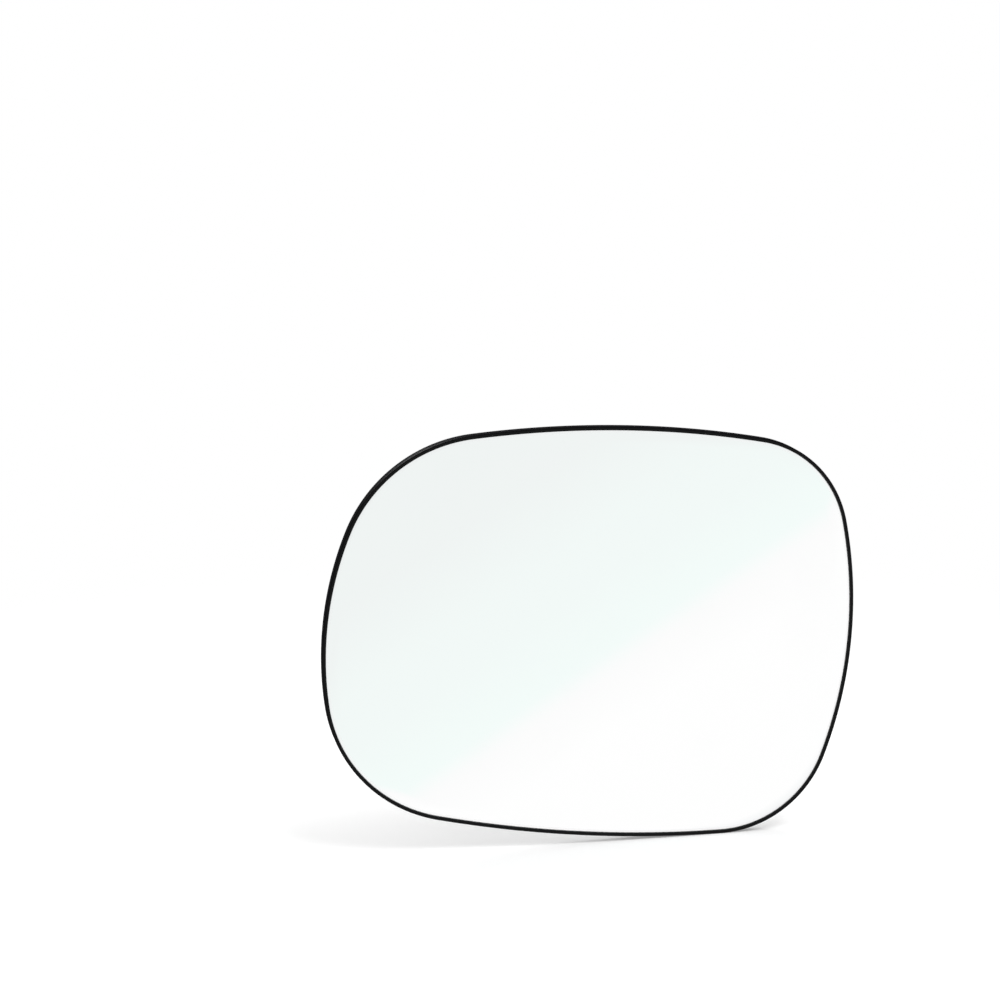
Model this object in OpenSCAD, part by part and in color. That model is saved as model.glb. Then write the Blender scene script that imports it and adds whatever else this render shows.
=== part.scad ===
// Replacement glass for a car door mirror: convex mirror glass in a thin black edging, with a white
// adhesive sheet over its back and a black moulded holder plate whose ring of clips snaps onto the
// mirror's adjuster. It is drawn lying on its back, glass up, and stood upright at the end.
// Heights run from the mouth of the holder's central hole towards the glass.

/* [Mirror glass] */
// Width of the glass
glass_w = 171.5; // [166:0.5:180]
// Height of the glass
glass_h = 134.5; // [130:0.5:142]
// Thickness of the glass
glass_t = 2; // [1.6:0.1:3]
// Radius of the convex mirror surface
mirror_r = 1400; // [1000:50:2000]
// How far the glass's middle lies to the right of the holder's centre, seen from the front
glass_x = -1.8; // [-3:0.1:2]
// How far the glass's middle lies above the holder's centre
glass_y = -1.5; // [-3:0.1:1]

/* [Glass outline] */
// Radius of the right edge's arc
right_r = 143; // [120:1:180]
// Radius of the top edge's arc
top_r = 325; // [260:5:400]
// Radius of the left edge's arc
left_r = 107; // [95:1:130]
// Radius of the bottom edge's arc
bottom_r = 425; // [340:5:500]
// Height of the right edge's outermost point above the middle
right_crest = 5; // [0:0.5:8]
// How far the top edge's highest point lies to the right of the middle
top_crest = -5.5; // [-10:0.5:5]
// Height of the left edge's outermost point above the middle
left_crest = -4.5; // [-8:0.5:2]
// How far the bottom edge's lowest point lies to the right of the middle
bottom_crest = 44; // [36:0.5:46]
// Radius of the upper right corner
corner_ur = 35; // [28:0.5:38]
// Radius of the upper left corner
corner_ul = 47.5; // [40:0.5:50]
// Radius of the lower left corner
corner_ll = 45; // [38:0.5:48]
// Radius of the lower right corner
corner_lr = 36; // [28:0.5:38]

/* [Edging and adhesive sheet] */
// Thickness of the white adhesive sheet
sheet_t = 0.5; // [0.3:0.1:1]
// Thickness of the edging's wall round the glass
rim_wall = 0.55; // [0.4:0.05:1.2]
// Thickness of the edging's front lip
front_lip = 0.45; // [0.3:0.05:1]
// How far the front lip laps over the mirror surface
front_lap = 0.6; // [0.4:0.1:2]
// Thickness of the edging's back lip
back_lip = 1.2; // [0.6:0.1:2]
// How far the back lip laps over the adhesive sheet
back_lap = 1.4; // [0.8:0.1:2.5]

/* [Holder plate] */
// Width of the glass left bare at each side of the holder plate
side_margin = 9.25; // [8:0.25:14]
// Height of the glass left bare above and below the holder plate
top_margin = 8.25; // [7:0.25:13]
// Wall thickness of the holder plate
plate_t = 2.2; // [1.8:0.1:3]
// Radius of the plate's top and bottom edges
plate_top_r = 118; // [105:1:140]
// Radius of the plate's side edges
plate_side_r = 126; // [110:1:150]
// Radius of the plate's four corners
plate_corner = 16; // [10:1:22]

/* [Centre of the holder] */
// Radius of the central hole
hole_r = 13.4; // [10:0.1:16]
// Width of the raised ring round the hole
ring_w = 1.6; // [1:0.1:3]
// Height of the raised ring above the disc
ring_h = 0.8; // [0.4:0.1:1.5]
// Radius of the central disc, which is the windows' inner edge
disc_r = 34.3; // [32:0.1:35]
// Height of the disc above the plate at its centre
disc_rise = 1.5; // [1:0.1:2]
// Half width of the spokes that join the disc to the plate at the top and bottom
tall_spoke = 16.1; // [12:0.1:18]
// Half width of the spokes at the left and right
side_spoke = 5.9; // [4:0.1:6.5]
// Radius at which the raised top and bottom spokes end in a step
step_r = 43.3; // [40:0.1:44.5]
// Width of the ribs left along the side spokes
spoke_rib = 1; // [0.6:0.1:1.5]
// Depth of the hollow in the side spokes
spoke_dip = 1; // [0.4:0.1:1.2]

/* [Clip ring] */
// Radius of the circle that the clips and lugs grip
grip_r = 36.5; // [36:0.1:37.5]
// Radius of the windows' outer edge
window_r = 45.6; // [45:0.1:48]
// Height above the middle at which the windows end flat
window_top = 41.3; // [40:0.1:42]
// Radius at the tips of the small teeth between the clips
tooth_r = 42.9; // [42:0.1:44]
// Ledge between the windows and the collar rib
collar_gap = 0.4; // [0.2:0.1:0.8]
// Width of the collar rib
collar_w = 1.2; // [0.8:0.1:2]
// Height of the collar rib above the plate
collar_h = 1.3; // [0.6:0.1:2.5]

/* [Locating lugs] */
// Angle at which a lug starts, from the horizontal
lug_from = 37; // [35:0.5:39]
// Angle at which a lug ends
lug_to = 53; // [50:0.5:55]
// Height of a lug's ridge above the mouth of the hole
lug_h = 1.5; // [1:0.1:3]
// Width of a lug's flat ridge
ridge_w = 1.6; // [1:0.1:2.5]
// Thickness of a lug's tip
tip_t = 1.4; // [1:0.1:2]
// Number of grip grooves across a lug's ramp
grooves = 3; // [2:4]
// Width of a groove
groove_w = 0.8; // [0.5:0.1:1]
// Depth of a groove
groove_d = 0.4; // [0.2:0.1:0.6]
// Thickness of the two ribs behind a lug
gusset_t = 1.2; // [0.8:0.1:1.6]
// How far those ribs stand in from the lug's ends
gusset_in = 0.3; // [0.2:0.1:1]
// Radius at which the ribs behind a lug run out
gusset_r = 53.6; // [50:0.1:56]
// Depth of the pocket between those ribs
pocket_d = 0.9; // [0.4:0.1:1.1]

/* [Spring clips] */
// Angle of a clip's middle line, from the horizontal
clip_at = 18; // [17:0.5:19]
// Width of a clip's leaf
leaf_w = 7.1; // [5.5:0.1:7.4]
// Thickness of a clip's leaf
clip_t = 1.3; // [1:0.1:1.6]
// How far the leaf lies below the plate's back
clip_drop = 0.3; // [0.1:0.1:0.5]
// Outer width of the loop at a clip's tip
loop_d = 8; // [7.6:0.1:8.4]
// How far the loop reaches in from the leaf
loop_l = 4.2; // [3.6:0.1:4.6]
// Outer radius of the loop's two corners
loop_r = 2.6; // [1.8:0.1:3]
// Width of the loop round the clip's eye, and of the bar that closes it
loop_w = 1; // [0.8:0.1:1.4]
// How far the loop stands up from the leaf
loop_h = 0.7; // [0.4:0.1:1.4]

/* [Hidden] */
// Chord error allowed on the outlines' arcs
arc_tol = 0.02;
// Depth by which a raised feature runs into the wall that carries it
root = 1;
// How far the clips and lugs run into the plate at the windows' outer edge
bite = 0.6;
// Angle by which the collar rib runs into the lugs at its ends
collar_bite = 1;
// Skin of the plate left in front of the lugs
lug_skin = 0.4;
// More than the reach of any outline from the centre, and more than the part's depth
reach = 120;
deep = 30;
// Angles of the small teeth's middles and their widths, from the horizontal
TEETH = [[30, 5], [59, 4]];
// Size of the holder plate
plate_w = glass_w - 2 * side_margin;
plate_h = glass_h - 2 * top_margin;
// Heights of the layers at the centre
disc_z = ring_h;
plate_back = disc_z + disc_rise;
plate_front = plate_back + plate_t;
sheet_front = plate_front + sheet_t;
glass_front = sheet_front + glass_t;
// Centre of the concentric mirror surfaces
dome_z = glass_front - mirror_r;
dome_fn = 3600;
// Angle between a lug's end and the middle of the rib behind it
gusset_lean = asin((gusset_in + gusset_t / 2) / window_r);

// Point at the distance a from p and b from q, on the left of the line from p to q
function meet(p, a, q, b) =
    let (
        d = q - p,
        l = norm(d),
        along = (a * a - b * b + l * l) / (2 * l),
        out = sqrt(a * a - along * along)
    )
    p + (along * d + out * [-d.y, d.x]) / l;

function heading(v) = atan2(v.y, v.x);

// Points of an arc about c, from the angle a0 anticlockwise to a1
function arc(c, r, a0, a1) =
    let (
        span = (a1 - a0 + 720) % 360,
        n = max(1, ceil(span / (2 * acos(1 - arc_tol / r))))
    )
    [for (i = [0:n]) c + r * [cos(a0 + span * i / n), sin(a0 + span * i / n)]];

// Outline of four side arcs that touch a box of w by h, with their corners rounded, moved out by grow.
// Sides and corners run anticlockwise from the right side: side_r and crest hold each side's radius and
// the place of its outermost point, and corner_r holds the radius of the corner that ends it.
function outline(w, h, side_r, crest, corner_r, grow) =
    let (
        sides = [
            [w / 2 - side_r[0], crest[0]],
            [crest[1], h / 2 - side_r[1]],
            [side_r[2] - w / 2, crest[2]],
            [crest[3], side_r[3] - h / 2]
        ],
        corners = [for (i = [0:3]) let (j = (i + 1) % 4)
            meet(sides[i], side_r[i] - corner_r[i], sides[j], side_r[j] - corner_r[i])],
        loops = [for (i = [0:3])
            let (
                j = (i + 1) % 4,
                a = heading(corners[i] - sides[i]),
                b = heading(corners[i] - sides[j]),
                c = heading(corners[j] - sides[j]),
                turn = arc(corners[i], corner_r[i] + grow, a, b),
                run = arc(sides[j], side_r[j] + grow, b, c)
            )
            each [each turn, for (k = [1:len(run) - 2]) run[k]]]
    )
    loops;

function glass_outline(grow = 0) =
    [for (p = outline(glass_w, glass_h, [right_r, top_r, left_r, bottom_r],
        [right_crest, top_crest, left_crest, bottom_crest],
        [corner_ur, corner_ul, corner_ll, corner_lr], grow)) p + [glass_x, glass_y]];

function plate_outline(grow = 0) =
    outline(plate_w, plate_h, [plate_side_r, plate_top_r, plate_side_r, plate_top_r],
        [0, 0, 0, 0], [plate_corner, plate_corner, plate_corner, plate_corner], grow);

// Height of the plate's back surface at a radius from the centre
function back_at(r) = dome_z + sqrt(pow(plate_back - dome_z, 2) - r * r);

// Stands the part up, with the glass to the front and the clips to the back
module upright() rotate([90, 0, 0]) children();

// Shell between two mirror surfaces, whose heights at the centre are low and high
module dome(low, high) {
    translate([0, 0, dome_z])
        rotate_extrude($fn = 180)
            intersection() {
                difference() {
                    circle(r = high - dome_z, $fn = dome_fn);
                    circle(r = low - dome_z, $fn = dome_fn);
                }
                translate([0, mirror_r - deep]) square([reach, 2 * deep]);
            }
}

// Straight block of an outline, between two heights
module block(points, low = -deep, high = deep)
    translate([0, 0, low]) linear_extrude(high - low) polygon(points);

// Flat wedge from the centre, between two angles
module wedge(from, to, r = reach) {
    middle = (from + to) / 2;
    polygon([[0, 0], for (a = [from, middle, to]) r * [cos(a), sin(a)]]);
}

module ring(outer, inner) difference() {
    circle(outer, $fn = 180);
    circle(inner, $fn = 180);
}

// The same shape in all four quarters
module quarters() for (h = [0, 1], v = [0, 1]) mirror([h, 0, 0]) mirror([0, v, 0]) children();

module mirror_glass() color("#f1f8f6")
    upright() intersection() {
        block(glass_outline());
        dome(sheet_front, glass_front);
    }

module adhesive_sheet() color("#f6f6f4")
    upright() intersection() {
        block(glass_outline());
        dome(plate_front, sheet_front);
    }

module edge_rim() color("#0c0d0e")
    upright() difference() {
        intersection() {
            block(glass_outline(rim_wall));
            dome(plate_front - back_lip, glass_front + front_lip);
        }
        intersection() {
            block(glass_outline());
            dome(plate_front, glass_front);
        }
        intersection() {
            block(glass_outline(-front_lap));
            dome(sheet_front, glass_front + deep / 2);
        }
        intersection() {
            block(glass_outline(-back_lap));
            dome(plate_front - deep / 2, sheet_front);
        }
    }

// Disc in the middle and the two wide spokes that lie level with it
module disc() translate([0, 0, disc_z]) linear_extrude(disc_rise + root) {
    circle(disc_r, $fn = 180);
    intersection() {
        circle(step_r, $fn = 180);
        square([2 * (tall_spoke + root), 3 * step_r], center = true);
    }
}

module hole_ring() linear_extrude(ring_h + root) circle(hole_r + ring_w, $fn = 180);

// Two arcs of rib outside the clip windows, at the left and right
module collar() for (side = [0, 180])
    translate([0, 0, back_at(window_r) - collar_h]) linear_extrude(collar_h + root) intersection() {
        ring(window_r + collar_gap + collar_w, window_r + collar_gap);
        rotate(side) wedge(-lug_from - collar_bite, lug_from + collar_bite);
    }

// One clip window, with the small teeth left standing on its outer edge
module window() difference() {
    intersection() {
        ring(window_r, disc_r);
        translate([tall_spoke, side_spoke]) square([window_r, window_top - side_spoke]);
    }
    for (tooth = TEETH) intersection() {
        ring(reach, tooth_r);
        wedge(tooth[0] - tooth[1] / 2, tooth[0] + tooth[1] / 2);
    }
}

// Shallow hollow in the back of a side spoke
module spoke_hollow() for (side = [0, 180])
    rotate(side) translate([disc_r + spoke_rib, spoke_rib - side_spoke, -deep])
        cube([window_r - disc_r - spoke_rib, 2 * (side_spoke - spoke_rib), deep + back_at(window_r) + spoke_dip]);

// Pocket behind a lug, between its two ribs
module pocket() translate([0, 0, -deep]) linear_extrude(deep + back_at(gusset_r) + pocket_d) intersection() {
    ring(gusset_r, window_r + bite / 2);
    wedge(lug_from + gusset_lean, lug_to - gusset_lean);
}

// Rigid lug: a grooved ramp that rises from the grip circle to a ridge at the window's outer edge
module lug() {
    floor_z = back_at(window_r) + plate_t - lug_skin;
    foot = [grip_r, floor_z - tip_t];
    crest = [window_r - ridge_w, -lug_h];
    up = (crest - foot) / norm(crest - foot);
    into = [-up.y, up.x] * groove_d;
    pitch = norm(crest - foot) / (grooves + 1);
    rotate(lug_from) rotate_extrude(angle = lug_to - lug_from, $fn = 180) polygon([
        [grip_r, floor_z], foot,
        for (i = [1:grooves]) let (p = foot + up * (pitch * i - groove_w / 2))
            each [p, p + into, p + into + up * groove_w, p + up * groove_w],
        crest, [window_r, -lug_h], [window_r + bite, floor_z - root], [window_r + bite, floor_z]
    ]);
}

// Rib that stands behind one end of a lug and slopes down until it sinks into the plate
module gusset() {
    foot = back_at(gusset_r);
    translate([0, gusset_t / 2, 0]) rotate([90, 0, 0]) linear_extrude(gusset_t) polygon([
        [window_r - ridge_w / 2, -lug_h], [window_r, -lug_h],
        [gusset_r, foot + pocket_d], [window_r - ridge_w / 2, foot + pocket_d]
    ]);
}

module lug_with_ribs() {
    lug();
    rotate(lug_from + gusset_lean) gusset();
    rotate(lug_to - gusset_lean) gusset();
}

// Flat loop with two round corners, that reaches in from its open side by l, and is w wide
module arch(l, w, r) {
    for (side = [-1, 1]) translate([r - l, side * (w / 2 - r)]) circle(r, $fn = 96);
    translate([-l, r - w / 2]) square([l, w - 2 * r]);
    translate([r - l, -w / 2]) square([l - r, w]);
}

// Sprung leaf with a loop at its tip, which a bar closes to a wide eye
module clip() {
    leaf_z = back_at(window_r) + clip_drop;
    heel = grip_r + loop_l;
    bar = heel + loop_w / 2;
    rotate(clip_at) {
        translate([bar, -leaf_w / 2, leaf_z]) cube([window_r + bite - bar, leaf_w, clip_t]);
        translate([heel, 0, leaf_z - loop_h]) linear_extrude(clip_t + loop_h) {
            difference() {
                arch(loop_l, loop_d, loop_r);
                arch(loop_l - loop_w, loop_d - 2 * loop_w, loop_r - loop_w);
            }
            translate([0, -loop_d / 2]) square([loop_w, loop_d]);
        }
    }
}

module holder_plate() color("#2a302f")
    upright() difference() {
        union() {
            difference() {
                union() {
                    intersection() {
                        block(plate_outline());
                        dome(plate_back, plate_front);
                    }
                    disc();
                    collar();
                }
                quarters() translate([0, 0, -deep]) linear_extrude(2 * deep) window();
                quarters() pocket();
                spoke_hollow();
            }
            hole_ring();
            quarters() lug_with_ribs();
            quarters() clip();
        }
        translate([0, 0, -deep]) cylinder(r = hole_r, h = 2 * deep, $fn = 180);
    }

mirror_glass();
edge_rim();
adhesive_sheet();
holder_plate();
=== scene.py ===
"""Looks of a car door mirror glass: silvered pane, black edging, white adhesive sheet and moulded holder.

The pane, the sheet and the edging are modelled here with finer facets than the solids that they replace,
and the holder keeps its solid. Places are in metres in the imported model's frame: x runs to the right of
someone who looks into the mirror, y out of its back and z up.
"""

import logging
import math
from dataclasses import dataclass
from enum import Enum
from typing import Any, Iterable, Sequence

import bmesh
import bpy
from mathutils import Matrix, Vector


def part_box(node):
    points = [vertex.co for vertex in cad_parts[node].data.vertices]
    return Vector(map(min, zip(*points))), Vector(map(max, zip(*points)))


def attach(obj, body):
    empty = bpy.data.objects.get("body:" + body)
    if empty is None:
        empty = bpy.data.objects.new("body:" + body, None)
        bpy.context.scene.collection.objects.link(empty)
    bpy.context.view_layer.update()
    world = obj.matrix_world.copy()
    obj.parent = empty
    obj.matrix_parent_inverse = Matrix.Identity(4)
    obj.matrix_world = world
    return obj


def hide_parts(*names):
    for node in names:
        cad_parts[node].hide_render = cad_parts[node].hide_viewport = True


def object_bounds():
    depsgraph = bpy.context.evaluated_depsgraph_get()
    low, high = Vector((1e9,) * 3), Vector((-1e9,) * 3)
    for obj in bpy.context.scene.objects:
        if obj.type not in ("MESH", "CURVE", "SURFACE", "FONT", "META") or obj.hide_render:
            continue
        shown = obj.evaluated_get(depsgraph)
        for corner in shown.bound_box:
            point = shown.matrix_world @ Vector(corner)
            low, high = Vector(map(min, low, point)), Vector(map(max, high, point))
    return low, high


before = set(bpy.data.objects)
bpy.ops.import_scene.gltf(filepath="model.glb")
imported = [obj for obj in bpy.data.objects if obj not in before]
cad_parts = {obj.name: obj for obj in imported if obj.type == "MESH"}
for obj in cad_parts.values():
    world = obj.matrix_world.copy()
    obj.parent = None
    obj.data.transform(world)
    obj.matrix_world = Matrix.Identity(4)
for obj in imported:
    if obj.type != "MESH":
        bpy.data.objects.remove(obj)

LOG = logging.getLogger("door_mirror_glass")
CAD_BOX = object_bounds()
MM = 0.001
Colour = tuple[float, float, float]
Span = tuple[float, float]
Settings = dict[str, Any]
Sockets = dict[int | str, Any]
WHITE: Colour = (1.0, 1.0, 1.0)


class Slot(Enum):
    """Material slots of the record; nothing here uses them, as the new pieces make their own finishes."""

    MIRROR = "mirror"
    EDGING = "edging"
    ADHESIVE = "adhesive"


@dataclass(frozen=True)
class Mottle:
    """Cloudy variation of a surface.

    scale is in cells per metre, detail counts the octaves, and roughness is the weight of the finer ones.
    Where shows is given, the noise rises from 0 to 1 over that stretch of its values.
    """

    scale: float
    detail: float = 3.0
    roughness: float = 0.55
    shows: Span | None = None


@dataclass(frozen=True)
class Relief:
    """Fine relief of a surface: how strongly it shows, and how deep it is."""

    strength: float
    depth: float


class Signal:
    """A shader socket that arithmetic can be written on."""

    def __init__(self, shader: "Shader", socket: bpy.types.NodeSocket) -> None:
        """Keeps an output socket and the tree that it belongs to."""
        self.shader = shader
        self.socket = socket

    def _math(self, operation: str, first: Any, second: Any) -> "Signal":
        """Result of a Math node on two values or signals."""
        return self.shader.add("ShaderNodeMath", {"operation": operation}, {0: first, 1: second})[0]

    def __add__(self, other: Any) -> "Signal":
        """Sum."""
        return self._math("ADD", self, other)

    def __radd__(self, other: Any) -> "Signal":
        """Sum with a number on the left."""
        return self._math("ADD", other, self)

    def __sub__(self, other: Any) -> "Signal":
        """Difference."""
        return self._math("SUBTRACT", self, other)

    def __rsub__(self, other: Any) -> "Signal":
        """Difference from a number on the left."""
        return self._math("SUBTRACT", other, self)

    def __mul__(self, other: Any) -> "Signal":
        """Product."""
        return self._math("MULTIPLY", self, other)

    def __rmul__(self, other: Any) -> "Signal":
        """Product with a number on the left."""
        return self._math("MULTIPLY", other, self)

    def __pow__(self, other: Any) -> "Signal":
        """Power."""
        return self._math("POWER", self, other)

    def ramp(self, low: float, high: float, at_low: float = 0.0, at_high: float = 1.0) -> "Signal":
        """Smooth step from one value to another.

        Args:
            low: Where the step starts.
            high: Where it ends.
            at_low: The value before it.
            at_high: The value after it.

        Returns:
            The stepped signal.
        """
        settings = {"interpolation_type": "SMOOTHSTEP"}
        sockets = {0: self, 1: low, 2: high, 3: at_low, 4: at_high}
        return self.shader.add("ShaderNodeMapRange", settings, sockets)[0]

    def between(self, at_zero: float, at_one: float) -> "Signal":
        """Straight change from the value at 0 to the value at 1."""
        return self * (at_one - at_zero) + at_zero


class Added:
    """A node that was added to a tree; indexing it gives an output as a signal."""

    def __init__(self, shader: "Shader", node: bpy.types.Node) -> None:
        """Keeps a node and the tree that it was added to."""
        self.shader = shader
        self.node = node

    def __getitem__(self, key: int | str) -> Signal:
        """Output of the node, by number or name."""
        return Signal(self.shader, self.node.outputs[key])


class Shader:
    """A node tree that finishes are written in."""

    def __init__(self, tree: bpy.types.NodeTree) -> None:
        """Empties the node tree of a material or a world."""
        self.tree = tree
        tree.nodes.clear()

    def add(self, kind: str, settings: Settings | None = None, sockets: Sockets | None = None) -> Added:
        """Adds a node.

        Args:
            kind: The node's type.
            settings: Its settings; a ramp's stops are a list of places and colours.
            sockets: Values or signals for its inputs, by number or name.

        Returns:
            The added node.
        """
        node = self.tree.nodes.new(kind)
        for name, value in (settings or {}).items():
            if name == "stops":
                self._set_stops(node.color_ramp, value)
            else:
                setattr(node, name, value)
        for key, value in (sockets or {}).items():
            if isinstance(value, Signal):
                self.tree.links.new(value.socket, node.inputs[key])
            elif node.inputs[key].type == "RGBA":
                node.inputs[key].default_value = (*value, 1.0)
            else:
                node.inputs[key].default_value = value
        return Added(self, node)

    @staticmethod
    def _set_stops(ramp: bpy.types.ColorRamp, stops: Sequence[tuple[float, Colour]]) -> None:
        """Sets a colour ramp's stops.

        Args:
            ramp: The ramp, which has fewer elements than there are stops.
            stops: Places and colours in order.
        """
        while len(ramp.elements) < len(stops):
            ramp.elements.new(1.0)
        for element, (place, colour) in zip(ramp.elements, stops):
            element.position = place
            element.color = (*colour, 1.0)

    def place(self) -> Signal:
        """Object coordinates, in metres."""
        return self.add("ShaderNodeTexCoord")["Object"]

    def blend(self, mask: Signal, first: Colour | Signal, second: Colour | Signal) -> Signal:
        """Colour that goes from the first, where the mask is 0, to the second, where it is 1."""
        return self.add("ShaderNodeMix", {"data_type": "RGBA"}, {0: mask, 6: first, 7: second})[2]

    def mottle(self, place: Signal, look: Mottle) -> Signal:
        """Cloudy noise.

        Args:
            place: Where to read it.
            look: Its scale and character.

        Returns:
            The noise, about 0.5, or from 0 to 1 where only a stretch of it shows.
        """
        sockets = {
            "Vector": place,
            "Scale": look.scale,
            "Detail": look.detail,
            "Roughness": look.roughness,
        }
        noise = self.add("ShaderNodeTexNoise", {"noise_dimensions": "3D"}, sockets)["Fac"]
        return noise.ramp(*look.shows) if look.shows else noise

    def raised(self, height: Signal, relief: Relief, normal: Signal | None = None) -> Signal:
        """Normal of a surface with a fine relief.

        Args:
            height: The relief's height, in parts of its depth.
            relief: Its strength and depth.
            normal: The normal without it, where that isn't the surface's own.

        Returns:
            The normal with the relief.
        """
        sockets = {"Strength": relief.strength, "Distance": relief.depth, "Height": height}
        if normal is not None:
            sockets["Normal"] = normal
        return self.add("ShaderNodeBump", None, sockets)["Normal"]


def material(name: str) -> tuple[bpy.types.Material, Shader]:
    """Makes an empty material.

    Args:
        name: The material's name.

    Returns:
        The material and its node tree.
    """
    made = bpy.data.materials.new(name)
    made.use_nodes = True
    return made, Shader(made.node_tree)


class Finish:
    """A surface finish, written on the principled shader."""

    name: str

    def sockets(self, shader: Shader, place: Signal) -> Sockets:
        """Describes the finish, which each kind of finish does in its own way."""
        raise NotImplementedError

    def make(self) -> bpy.types.Material:
        """Builds the finish's material.

        Returns:
            The material.
        """
        made, shader = material(self.name)
        body = shader.add("ShaderNodeBsdfPrincipled", None, self.sockets(shader, shader.place()))
        shader.add("ShaderNodeOutputMaterial", None, {"Surface": body["BSDF"]})
        return made


@dataclass(frozen=True)
class SilveredGlass(Finish):
    """Polished convex glass, silvered behind, with the faintest film of handling on it."""

    name: str = "silvered_glass"
    tint: Colour = (0.97, 0.985, 0.98)
    film: Colour = (0.955, 0.972, 0.967)
    film_share: float = 0.6
    cloud: Mottle = Mottle(22.0, 4.0, 0.6, (0.5, 0.78))
    rough: Span = (0.012, 0.062)

    def sockets(self, shader: Shader, place: Signal) -> Sockets:
        """Describes the mirror.

        Args:
            shader: The material's node tree.
            place: Place on the glass.

        Returns:
            Values and signals of the principled shader.
        """
        haze = shader.mottle(place, self.cloud)
        return {
            "Base Color": shader.blend(haze * self.film_share, self.tint, self.film),
            "Metallic": 1.0,
            "Roughness": haze.between(*self.rough),
        }


@dataclass(frozen=True)
class SeamedGlass(Finish):
    """Satin edge of the glass, where its sharp corner was ground away."""

    name: str = "seamed_glass"
    grind: Mottle = Mottle(2600.0, 2.0)
    relief: Relief = Relief(0.15, 0.02 * MM)
    rough: Span = (0.2, 0.3)

    def sockets(self, shader: Shader, place: Signal) -> Sockets:
        """Describes the ground edge.

        Args:
            shader: The material's node tree.
            place: Place on the glass.

        Returns:
            Values and signals of the principled shader.
        """
        grit = shader.mottle(place, self.grind)
        return {
            "Base Color": WHITE,
            "Metallic": 1.0,
            "Roughness": grit.between(*self.rough),
            "Normal": shader.raised(grit, self.relief),
        }


@dataclass(frozen=True)
class BlackEdging(Finish):
    """Thin black plastic edging, nearly matt, scuffed a little along its length."""

    name: str = "black_edging"
    colour: Colour = (0.0015, 0.0015, 0.0018)
    scuffed: Colour = (0.005, 0.005, 0.0055)
    patches: Mottle = Mottle(160.0, 4.0, shows=(0.55, 0.75))
    grain: Mottle = Mottle(1800.0, 2.0)
    relief: Relief = Relief(0.12, 0.02 * MM)
    rough: Span = (0.32, 0.44)
    gloss: float = 0.12

    def sockets(self, shader: Shader, place: Signal) -> Sockets:
        """Describes the edging.

        Args:
            shader: The material's node tree.
            place: Place on the edging.

        Returns:
            Values and signals of the principled shader.
        """
        patchy = shader.mottle(place, self.patches)
        return {
            "Base Color": shader.blend(patchy, self.colour, self.scuffed),
            "Roughness": patchy.between(*self.rough),
            "Specular IOR Level": self.gloss,
            "Normal": shader.raised(shader.mottle(place, self.grain), self.relief),
        }


@dataclass(frozen=True)
class FoamFilm(Finish):
    """White double-sided foam film, with fine cells and a slight wave from pressing on."""

    name: str = "white_foam_film"
    colour: Colour = (0.93, 0.935, 0.928)
    shaded: Colour = (0.875, 0.885, 0.876)
    shaded_share: float = 0.6
    shaded_edge: Span = (0.35, 0.75)
    cells: float = 900.0
    cell_height: float = 0.5
    wave: Mottle = Mottle(45.0)
    wave_height: float = 1.5
    relief: Relief = Relief(0.25, 0.08 * MM)
    rough: Span = (0.62, 0.72)
    gloss: float = 0.3

    def sockets(self, shader: Shader, place: Signal) -> Sockets:
        """Describes the adhesive sheet.

        Args:
            shader: The material's node tree.
            place: Place on the sheet.

        Returns:
            Values and signals of the principled shader.
        """
        spread = {"Vector": place, "Scale": self.cells}
        cells = shader.add("ShaderNodeTexVoronoi", {"feature": "F1"}, spread)["Distance"]
        wave = shader.mottle(place, self.wave)
        height = cells * self.cell_height + wave * self.wave_height
        shade = wave.ramp(*self.shaded_edge) * self.shaded_share
        return {
            "Base Color": shader.blend(shade, self.colour, self.shaded),
            "Roughness": wave.between(*self.rough),
            "Specular IOR Level": self.gloss,
            "Normal": shader.raised(height, self.relief),
        }


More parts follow.
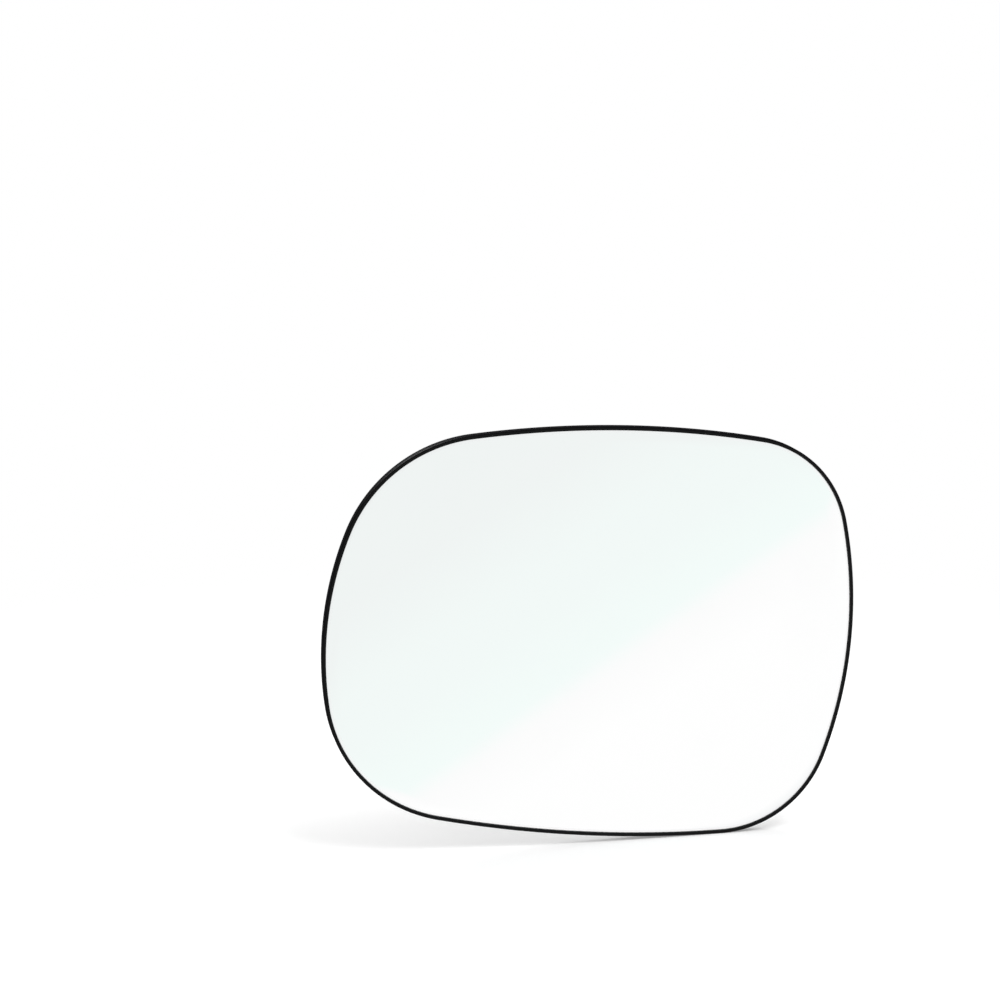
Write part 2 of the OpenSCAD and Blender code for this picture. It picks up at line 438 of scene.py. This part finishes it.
@dataclass(frozen=True)
class MouldedPlastic(Finish):
    """Black moulded plastic with a fine grain, clouds, a painted sheen and painted highlights on its lugs.

    The clouds are random. The painted sheen, a paler, cooler tone that stands in for light on the back,
    grows towards the left and a little upwards, over lean_reach to either side of the middle, and fades
    between the two heights of crown, above and below.

    The lugs stand at 45 degrees in the four quarters of the clip ring, between the two radii of lug_reach.
    lug_turn says where they end to either side. It is the difference between the squares of a place's
    height and of its distance across, over their sum, which is 0 at 45 degrees.
    """

    name: str = "moulded_black_plastic"
    colour: Colour = (0.0035, 0.0068, 0.006)
    # Paler, cooler tone of the random clouds and of the painted sheen
    cool_and_sheen: Colour = (0.028, 0.033, 0.042)
    dusty: Colour = (0.045, 0.049, 0.051)
    # Painted highlight on the lugs' ramps, where their sloped faces catch light
    painted_highlight: Colour = (0.2, 0.222, 0.226)
    clouds: Mottle = Mottle(18.0, shows=(0.38, 0.66))
    cloud_share: float = 0.35
    lean_up: float = 0.6
    lean_reach: float = 60 * MM
    crown: Span = (30 * MM, 52 * MM)
    dust: Mottle = Mottle(260.0, 5.0, 0.7, (0.6, 0.82))
    dust_share: float = 0.25
    # Noise that breaks the painted highlight into patches
    patches: Mottle = Mottle(750.0, 4.0)
    patch_edge: Span = (0.3, 0.6)
    patch_share: Span = (0.65, 1.0)
    highlight_share: Span = (0.35, 0.85)
    lug_reach: Span = (36.4 * MM, 43.9 * MM)
    lug_fade: float = 0.2 * MM
    lug_turn: float = 0.27
    turn_fade: float = 0.03
    grain: Mottle = Mottle(1500.0, 2.0, 0.7)
    relief: Relief = Relief(0.35, 0.03 * MM)
    edge_round: float = 0.25 * MM
    edge_samples: int = 6
    rough: Span = (0.4, 0.5)
    cool_rough: float = 0.08
    gloss: float = 0.3

    def lug_ramps(self, across: Signal, height: Signal) -> Signal:
        """Finds the lugs' grooved ramps, which take the painted highlight.

        Args:
            across: Place across the holder.
            height: Place up the holder.

        Returns:
            1 on the ramps and 0 elsewhere.
        """
        wide, tall = across * across, height * height
        reach = (wide + tall) ** 0.5
        turn = (tall - wide) * (tall + wide) ** -1
        start, end = self.lug_reach
        ring = reach.ramp(start - self.lug_fade, start) * reach.ramp(end, end + self.lug_fade, 1.0, 0.0)
        low = turn.ramp(-self.lug_turn - self.turn_fade, -self.lug_turn)
        return ring * low * turn.ramp(self.lug_turn, self.lug_turn + self.turn_fade, 1.0, 0.0)

    def sockets(self, shader: Shader, place: Signal) -> Sockets:
        """Describes the holder.

        Args:
            shader: The material's node tree.
            place: Place on the holder.

        Returns:
            Values and signals of the principled shader.
        """
        parts = shader.add("ShaderNodeSeparateXYZ", None, {0: place})
        across, height = parts["X"], parts["Z"]
        # Painted sheen: paler towards the left and a little upwards, kept to the middle heights
        painted_sheen = (height * self.lean_up - across).ramp(-self.lean_reach, self.lean_reach)
        start, end = self.crown
        middle = (height * height).ramp(start * start, end * end, 1.0, 0.0)
        cloud = shader.mottle(place, self.clouds)
        # Random clouds plus the painted sheen
        cloud_and_sheen = cloud * self.cloud_share + painted_sheen * middle * (1 - self.cloud_share)
        grain = shader.mottle(place, self.grain)
        # Painted highlight: the lugs' ramps lightened in noisy patches, more on the painted sheen's side
        patchy = shader.mottle(place, self.patches).ramp(*self.patch_edge, *self.patch_share)
        lug_highlight = self.lug_ramps(across, height) * patchy * (painted_sheen * painted_sheen).between(*self.highlight_share)
        # Painted highlight laid over the clouds and painted sheen
        body = shader.blend(lug_highlight, shader.blend(cloud_and_sheen, self.colour, self.cool_and_sheen), self.painted_highlight)
        dust = shader.mottle(place, self.dust) * self.dust_share
        edges = shader.add("ShaderNodeBevel", {"samples": self.edge_samples}, {"Radius": self.edge_round})
        return {
            "Base Color": shader.blend(dust, body, self.dusty),
            "Roughness": grain.between(*self.rough) + cloud_and_sheen * self.cool_rough,
            "Specular IOR Level": self.gloss,
            "Normal": shader.raised(grain, self.relief, edges["Normal"]),
        }


@dataclass(frozen=True)
class Outline:
    """Outline of the glass: four side arcs that touch its box, with rounded corners between them.

    Sides run anticlockwise from the right one. crest holds the place of each side's outermost point, and
    corner_r the radius of the corner that ends it.
    """

    low: Vector
    high: Vector
    side_r: tuple[float, ...] = (143 * MM, 325 * MM, 107 * MM, 425 * MM)
    crest: tuple[float, ...] = (5 * MM, -5.5 * MM, -4.5 * MM, 44 * MM)
    corner_r: tuple[float, ...] = (35 * MM, 47.5 * MM, 45 * MM, 36 * MM)
    chord: float = 0.004 * MM

    @property
    def middle(self) -> Vector:
        """Middle of the box, as x and z."""
        centre = (self.low + self.high) / 2
        return Vector((centre.x, centre.z))

    def side_centres(self) -> list[Vector]:
        """Works out the centres of the side arcs.

        Returns:
            The centres of the right, top, left and bottom arcs.
        """
        half = (self.high - self.low) / 2
        right, top, left, bottom = self.side_r
        places = [
            (half.x - right, self.crest[0]),
            (self.crest[1], half.z - top),
            (left - half.x, self.crest[2]),
            (self.crest[3], bottom - half.z),
        ]
        return [self.middle + Vector(place) for place in places]

    def corner_centre(self, index: int, sides: Sequence[Vector]) -> Vector:
        """Works out the centre of the corner that joins a side to the next one.

        Args:
            index: The side's number.
            sides: Centres of the side arcs.

        Returns:
            The centre of the corner's circle, which touches both arcs from inside.
        """
        following = (index + 1) % len(sides)
        first, second = sides[index], sides[following]
        near = self.side_r[index] - self.corner_r[index]
        far = self.side_r[following] - self.corner_r[index]
        line = second - first
        length = line.length
        along = (near * near - far * far + length * length) / (2 * length)
        out = math.sqrt(near * near - along * along)
        return first + (line * along + Vector((-line.y, line.x)) * out) / length

    def arc(self, centre: Vector, radius: float, grow: float, start: Vector, end: Vector) -> list[Vector]:
        """Works out the points of an arc, without its last one.

        Args:
            centre: The arc's centre.
            radius: Its radius, which sets the number of points.
            grow: How far it is moved out.
            start: Direction of its first point.
            end: Direction of the point that it stops before.

        Returns:
            The points, anticlockwise.
        """
        first = math.atan2(start.y, start.x)
        span = (math.atan2(end.y, end.x) - first) % math.tau
        steps = max(1, math.ceil(span / (2 * math.acos(1 - self.chord / radius))))
        angles = [first + span * step / steps for step in range(steps)]
        return [centre + (radius + grow) * Vector((math.cos(angle), math.sin(angle))) for angle in angles]

    def loop(self, grow: float = 0.0) -> list[Vector]:
        """Works out the points of the whole outline.

        Args:
            grow: How far the outline is moved out.

        Returns:
            The points as x and z, anticlockwise from the right side's upper end.
        """
        sides = self.side_centres()
        corners = [self.corner_centre(index, sides) for index in range(len(sides))]
        points: list[Vector] = []
        for index, corner in enumerate(corners):
            following = (index + 1) % len(sides)
            side = sides[following]
            turned = corner - side
            points += self.arc(corner, self.corner_r[index], grow, corner - sides[index], turned)
            points += self.arc(side, self.side_r[following], grow, turned, corners[following] - side)
        return points


@dataclass(frozen=True)
class Dome:
    """The convex mirror surface and the surfaces behind it, all round one centre."""

    pole: float
    radius: float = 1400 * MM

    def at(self, point: Vector, depth: float) -> Vector:
        """Finds a point of the surface at a depth behind the mirror surface.

        Args:
            point: Where, as x and z.
            depth: How far behind the mirror surface.

        Returns:
            The point in space.
        """
        shell = self.radius - depth
        centre = self.pole + self.radius
        return Vector((point.x, centre - math.sqrt(shell * shell - point.length_squared), point.y))


def finish_mesh(name: str, bm: bmesh.types.BMesh, *materials: bpy.types.Material) -> bpy.types.Object:
    """Turns a bmesh into an object at the origin.

    Args:
        name: The object's name.
        bm: The mesh, which is freed.
        materials: Its materials in the order of their numbers.

    Returns:
        The object, linked to the scene.
    """
    mesh = bpy.data.meshes.new(name)
    bm.to_mesh(mesh)
    bm.free()
    for entry in materials:
        mesh.materials.append(entry)
    piece = bpy.data.objects.new(name, mesh)
    bpy.context.scene.collection.objects.link(piece)
    return piece


def add_loop(bm: bmesh.types.BMesh, points: Iterable[Vector]) -> list[bmesh.types.BMEdge]:
    """Adds a closed loop of edges.

    Args:
        bm: The mesh.
        points: The loop's points in order.

    Returns:
        The loop's edges.
    """
    verts = [bm.verts.new(point) for point in points]
    return [bm.edges.new((verts[i - 1], verts[i])) for i in range(len(verts))]


@dataclass
class DomePanel:
    """Panel with the glass's outline, between two of the dome's surfaces."""

    outline: Outline
    dome: Dome
    rings: int = 22

    def shrinking(self, points: Sequence[Vector], depth: float) -> list[list[Vector]]:
        """Works out rings that shrink towards the middle of a face.

        Args:
            points: The face's edge.
            depth: How far the face lies behind the mirror surface.

        Returns:
            The rings, from the edge inwards.
        """
        middle = self.outline.middle
        shares = [1 - ring / self.rings for ring in range(self.rings)]
        return [
            [self.dome.at(middle + (point - middle) * share, depth) for point in points]
            for share in shares
        ]

    def skin(
        self, bm: bmesh.types.BMesh, rings: Sequence[Sequence[Vector]], sharp: Sequence[int]
    ) -> list[list[bmesh.types.BMFace]]:
        """Bridges rings one to the next into a closed skin.

        Args:
            bm: The mesh.
            rings: The rings, from the middle of the back to the middle of the front.
            sharp: Numbers of the rings that are sharp corners.

        Returns:
            The faces of each band between two rings.
        """
        loops = [add_loop(bm, ring) for ring in rings]
        bands = [
            bmesh.ops.bridge_loops(bm, edges=first + second)["faces"]
            for first, second in zip(loops, loops[1:])
        ]
        for cap in (loops[0], loops[-1]):
            made = bmesh.ops.contextual_create(bm, geom=cap)["faces"]
            bmesh.ops.poke(bm, faces=made)
        bmesh.ops.recalc_face_normals(bm, faces=bm.faces)
        for face in bm.faces:
            face.smooth = True
        for number in sharp:
            for edge in loops[number]:
                edge.smooth = False
        return bands


@dataclass
class MirrorPane(DomePanel):
    """The convex glass: polished front, ground seam along the edging's lip, plain back."""

    thickness: float = 2 * MM
    seam_width: float = 1.5 * MM
    seam_depth: float = 0.12 * MM

    def build(self) -> bpy.types.Object:
        """Models the pane, with a finish of its own on its ground seam and side.

        Returns:
            The pane.
        """
        bm = bmesh.new()
        edge = self.outline.loop()
        back = self.shrinking(edge, self.thickness)[::-1]
        side = [self.dome.at(point, self.seam_depth) for point in edge]
        front = self.shrinking(self.outline.loop(-self.seam_width), 0.0)
        corner = len(back) - 1
        bands = self.skin(bm, back + [side] + front, (corner, corner + 1))
        for face in bands[corner] + bands[corner + 1]:
            face.material_index = 1
        pane = finish_mesh("mirror_pane", bm, SilveredGlass().make(), SeamedGlass().make())
        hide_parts("mirror_glass")
        return pane


@dataclass
class AdhesiveSheet(DomePanel):
    """White adhesive sheet on the glass's back, which shows in the holder's hole and windows."""

    front: float = 2 * MM
    back: float = 2.5 * MM

    def build(self) -> bpy.types.Object:
        """Models the sheet.

        Returns:
            The sheet.
        """
        bm = bmesh.new()
        edge = self.outline.loop()
        back = self.shrinking(edge, self.back)[::-1]
        corner = len(back) - 1
        self.skin(bm, back + self.shrinking(edge, self.front), (corner, corner + 1))
        sheet = finish_mesh("foam_sheet", bm, FoamFilm().make())
        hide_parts("adhesive_sheet")
        return sheet


@dataclass(frozen=True)
class SectionCorner:
    """Corner of the edging's section: how far it lies outside the glass, how deep, and its rounding."""

    grow: float
    depth: float
    rounding: float = 0.0


@dataclass
class Edging:
    """Black edging round the glass, with a narrow lip in front and a wider one behind."""

    outline: Outline
    dome: Dome
    wall: float = 0.55 * MM
    front_lip: float = 0.45 * MM
    front_lap: float = 0.6 * MM
    back_lip: float = 1.2 * MM
    back_lap: float = 1.4 * MM
    depth: float = 2.5 * MM
    front_round: float = 0.42 * MM
    back_round: float = 0.4 * MM
    lip_round: float = 0.2 * MM
    round_steps: int = 5
    crease: float = math.radians(40)

    def section(self) -> list[SectionCorner]:
        """Works out the edging's section.

        Returns:
            Its corners, from the front lip's foot round the outside to the glass's front corner.
        """
        back = self.depth + self.back_lip
        return [
            SectionCorner(-self.front_lap, 0.0),
            SectionCorner(-self.front_lap, -self.front_lip, self.lip_round),
            SectionCorner(self.wall, -self.front_lip, self.front_round),
            SectionCorner(self.wall, back, self.back_round),
            SectionCorner(-self.back_lap, back, self.lip_round),
            SectionCorner(-self.back_lap, self.depth),
            SectionCorner(0.0, self.depth),
            SectionCorner(0.0, 0.0),
        ]

    def build(self) -> bpy.types.Object:
        """Models the edging as loops round the outline, one for each corner of its section.

        Returns:
            The edging.
        """
        bm = bmesh.new()
        section = self.section()
        loops = [
            add_loop(bm, [self.dome.at(point, corner.depth) for point in self.outline.loop(corner.grow)])
            for corner in section
        ]
        for first, second in zip(loops, loops[1:] + loops[:1]):
            bmesh.ops.bridge_loops(bm, edges=first + second)
        bmesh.ops.recalc_face_normals(bm, faces=bm.faces)
        for edges, corner in zip(loops, section):
            if corner.rounding:
                bmesh.ops.bevel(
                    bm, geom=[edge for edge in edges if edge.is_valid], offset=corner.rounding,
                    offset_type="OFFSET", segments=self.round_steps, profile=0.5, affect="EDGES",
                    material=-1,
                )
        for face in bm.faces:
            face.smooth = True
        for edge in bm.edges:
            edge.smooth = edge.calc_face_angle(0.0) < self.crease
        piece = finish_mesh("edging", bm, BlackEdging().make())
        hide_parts("edge_rim")
        return piece


@dataclass
class HolderPlate:
    """Black moulded holder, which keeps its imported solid."""

    node: str = "holder_plate"

    def dress(self) -> bpy.types.Object:
        """Gives the holder its moulded plastic.

        Returns:
            The holder.
        """
        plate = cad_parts[self.node]
        plate.data.materials.clear()
        plate.data.materials.append(MouldedPlastic().make())
        return plate


def aim(placed: bpy.types.Object, away: Vector) -> None:
    """Turns a camera or lamp so that it looks against a direction, and links it to the scene.

    Args:
        placed: The camera or lamp.
        away: The direction that it turns its back to.
    """
    placed.rotation_mode = "QUATERNION"
    placed.rotation_quaternion = (-away).to_track_quat("-Z", "Y")
    bpy.context.scene.collection.objects.link(placed)


@dataclass(frozen=True)
class View:
    """Camera that sees the glass at the photograph's angle, place and size.

    aim_point is seen at aim_pixel, and scale is the size of a pixel there.
    """

    azimuth: float = math.radians(-11.0)
    elevation: float = math.radians(11.0)
    lens: float = 85.0
    sensor: float = 36.0
    pixels: float = 1000.0
    aim_pixel: tuple[float, float] = (587.8, 627.9)
    aim_point: tuple[float, float, float] = (-2.48 * MM, 0.0, 0.48 * MM)
    scale: float = 170.0 / 533.6 * MM
    clip: Span = (0.01, 50.0)

    def build(self) -> None:
        """Stands the camera and makes it the scene's."""
        turn, rise = self.azimuth, self.elevation
        back = Vector((math.sin(turn) * math.cos(rise), -math.cos(turn) * math.cos(rise), math.sin(rise)))
        right = Vector((math.cos(turn), math.sin(turn), 0.0))
        up = back.cross(right)
        focal = self.lens / self.sensor * self.pixels
        distance = focal * self.scale
        across = (self.aim_pixel[0] - self.pixels / 2) / focal
        down = (self.aim_pixel[1] - self.pixels / 2) / focal
        data = bpy.data.cameras.new("camera")
        data.lens = self.lens
        data.sensor_width = self.sensor
        data.clip_start, data.clip_end = self.clip
        made = bpy.data.objects.new("camera", data)
        made.location = Vector(self.aim_point) + distance * (back - across * right + down * up)
        aim(made, back)
        bpy.context.scene.camera = made


@dataclass(frozen=True)
class Floor:
    """Pale floor that the object's lowest edge touches, which fades into the white round it."""

    half: float = 6.0
    colour: Colour = (0.8, 0.8, 0.8)
    glow: float = 0.25
    fade: Span = (0.16, 0.42)

    def surface(self) -> bpy.types.Material:
        """Makes the floor's material, which is see-through from below and, to the camera, far out.

        Returns:
            The material.
        """
        made, shader = material("pale_floor")
        seen = shader.add("ShaderNodeLightPath")["Is Camera Ray"]
        below = shader.add("ShaderNodeNewGeometry")["Backfacing"]
        away = shader.add("ShaderNodeVectorMath", {"operation": "LENGTH"}, {0: shader.place()})["Value"]
        gone = 1.0 - (1.0 - below) * (1.0 - away.ramp(*self.fade) * seen)
        matt = shader.add("ShaderNodeBsdfDiffuse", None, {"Color": self.colour})[0]
        glow = shader.add("ShaderNodeEmission", None, {"Color": WHITE, "Strength": self.glow})[0]
        lit = shader.add("ShaderNodeAddShader", None, {0: matt, 1: glow})[0]
        pale = shader.add("ShaderNodeMixShader", None, {0: seen, 1: matt, 2: lit})[0]
        clear = shader.add("ShaderNodeBsdfTransparent")[0]
        both = shader.add("ShaderNodeMixShader", None, {0: gone, 1: pale, 2: clear})[0]
        shader.add("ShaderNodeOutputMaterial", None, {"Surface": both})
        return made

    def build(self) -> None:
        """Lays the floor, which the mirror and the glossy plastics don't reflect."""
        bm = bmesh.new()
        bmesh.ops.create_grid(bm, x_segments=2, y_segments=2, size=self.half)
        bmesh.ops.translate(bm, verts=bm.verts, vec=Vector((0.0, 0.0, CAD_BOX[0].z)))
        piece = finish_mesh("studio_floor", bm, self.surface())
        piece.visible_glossy = False


@dataclass(frozen=True)
class Lamp:
    """Square soft lamp that faces the object."""

    name: str
    place: tuple[float, float, float]
    size: float
    power: float
    reflected: bool = True

    def build(self) -> None:
        """Hangs the lamp."""
        data = bpy.data.lights.new(self.name, "AREA")
        data.size = self.size
        data.energy = self.power
        lamp = bpy.data.objects.new(self.name, data)
        lamp.location = Vector(self.place)
        lamp.visible_glossy = self.reflected
        aim(lamp, lamp.location)


@dataclass(frozen=True)
class Surroundings:
    """White surroundings that light the object evenly, with tones of their own for what is reflected.

    The mirror reflects slanting pale zones, which follow one another from the upper left to the lower
    right. Beside and behind the object the tones are dark, paler from below and with a strip of light low
    at the right, so that the black plastics stay black and keep a sheen.
    """

    ambient: float = 0.62
    reflected: float = 1.04
    slant: float = 0.65
    zone_scale: float = 2.0
    zone_span: Span = (-1.6, 2.4)
    zones: tuple[tuple[float, Colour], ...] = (
        (-1.60, (0.350, 0.400, 0.420)),
        (-0.60, (0.560, 0.610, 0.625)),
        (0.10, (0.863, 0.884, 0.879)),
        (0.45, (0.863, 0.884, 0.879)),
        (0.60, (0.880, 0.920, 0.908)),
        (0.70, (0.882, 0.926, 0.914)),
        (0.78, (0.889, 0.944, 0.927)),
        (0.82, (0.893, 0.950, 0.934)),
        (0.86, (0.963, 0.950, 0.954)),
        (0.96, (0.988, 0.974, 0.978)),
        (1.30, (0.988, 0.974, 0.978)),
        (1.85, (0.600, 0.650, 0.665)),
        (2.40, (0.420, 0.470, 0.490)),
    )
    horizon: Span = (-0.02, 0.05)
    level: Colour = (0.863, 0.884, 0.879)
    overhead: Colour = (0.6, 0.64, 0.66)
    overhead_edge: Span = (0.0, 0.9)
    front_edge: Span = (-0.5, -0.3)
    flag: Colour = (0.06, 0.06, 0.065)
    below: Colour = (0.5, 0.5, 0.5)
    below_edge: Span = (-0.8, -0.2)
    strip: Colour = (1.2, 1.2, 1.2)
    strip_edge: Span = (0.6, 1.0)
    strip_from: Span = (0.0, 0.15)
    strip_to: Span = (0.5, 0.75)

    def in_front(self, shader: Shader, across: Signal, height: Signal) -> Signal:
        """Colours what the mirror reflects.

        Args:
            shader: The world's node tree.
            across: The direction's x.
            height: Its z.

        Returns:
            The colour: the slanting zones below the horizon, and above it a tone that darkens overhead.
        """
        first, last = self.zone_span
        slope = ((across * self.slant - height) * self.zone_scale - first) * (1 / (last - first))
        stops = [((value - first) / (last - first), colour) for value, colour in self.zones]
        low = shader.add("ShaderNodeValToRGB", {"stops": stops}, {0: slope})["Color"]
        high = shader.blend(height.ramp(*self.overhead_edge), self.level, self.overhead)
        return shader.blend(height.ramp(*self.horizon), low, high)

    def behind(self, shader: Shader, across: Signal, rearward: Signal, height: Signal) -> Signal:
        """Colours what the plastics reflect.

        Args:
            shader: The world's node tree.
            across: The direction's x.
            rearward: Its y.
            height: Its z.

        Returns:
            The colour: dark, paler from below, with the strip of light at the right.
        """
        along = rearward.ramp(*self.strip_from) * rearward.ramp(*self.strip_to, 1.0, 0.0)
        lit = (across - height).ramp(*self.strip_edge) * along
        dark = shader.blend(height.ramp(*self.below_edge), self.below, self.flag)
        return shader.blend(lit, dark, self.strip)

    def build(self) -> None:
        """Makes the world: white to the camera, toned to glossy rays and even light to all others."""
        world = bpy.data.worlds.new("studio")
        world.use_nodes = True
        bpy.context.scene.world = world
        shader = Shader(world.node_tree)
        light = shader.add("ShaderNodeLightPath")
        way = shader.add("ShaderNodeTexCoord")["Generated"]
        parts = shader.add("ShaderNodeSeparateXYZ", None, {0: way})
        across, rearward, height = parts["X"], parts["Y"], parts["Z"]
        tones = shader.blend(
            rearward.ramp(*self.front_edge),
            self.in_front(shader, across, height),
            self.behind(shader, across, rearward, height),
        )
        even = shader.add("ShaderNodeBackground", None, {"Color": WHITE, "Strength": self.ambient})[0]
        toned = shader.add("ShaderNodeBackground", None, {"Color": tones, "Strength": self.reflected})[0]
        white = shader.add("ShaderNodeBackground", None, {"Color": WHITE, "Strength": 1.0})[0]
        glossy, camera = light["Is Glossy Ray"], light["Is Camera Ray"]
        other = shader.add("ShaderNodeMixShader", None, {0: glossy, 1: even, 2: toned})[0]
        seen = shader.add("ShaderNodeMixShader", None, {0: camera, 1: other, 2: white})[0]
        shader.add("ShaderNodeOutputWorld", None, {"Surface": seen})


@dataclass(frozen=True)
class Studio:
    """Camera, floor, lamps and surroundings."""

    view: View = View()
    floor: Floor = Floor()
    lamps: tuple[Lamp, ...] = (
        Lamp("key", (0.5, -0.55, 1.5), 0.9, 14.0, reflected=False),
        Lamp("back_fill", (-0.6, 1.1, 1.2), 1.1, 12.0),
    )
    surroundings: Surroundings = Surroundings()

    def build(self) -> None:
        """Sets up the whole studio."""
        for item in (self.view, self.floor, *self.lamps, self.surroundings):
            item.build()
        bpy.context.scene.view_settings.view_transform = "Standard"


def main() -> None:
    """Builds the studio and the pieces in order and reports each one."""
    logging.basicConfig(level=logging.INFO, format="%(name)s: %(message)s")
    Studio().build()
    low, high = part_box("mirror_glass")
    outline = Outline(low, high)
    dome = Dome(low.y)
    for kind in (MirrorPane, AdhesiveSheet, Edging):
        piece = kind(outline, dome).build()
        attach(piece, "root")
        LOG.info("%s: %d faces", piece.name, len(piece.data.polygons))
    LOG.info("%s: dressed", HolderPlate().dress().name)


if __name__ == "__main__":
    main()
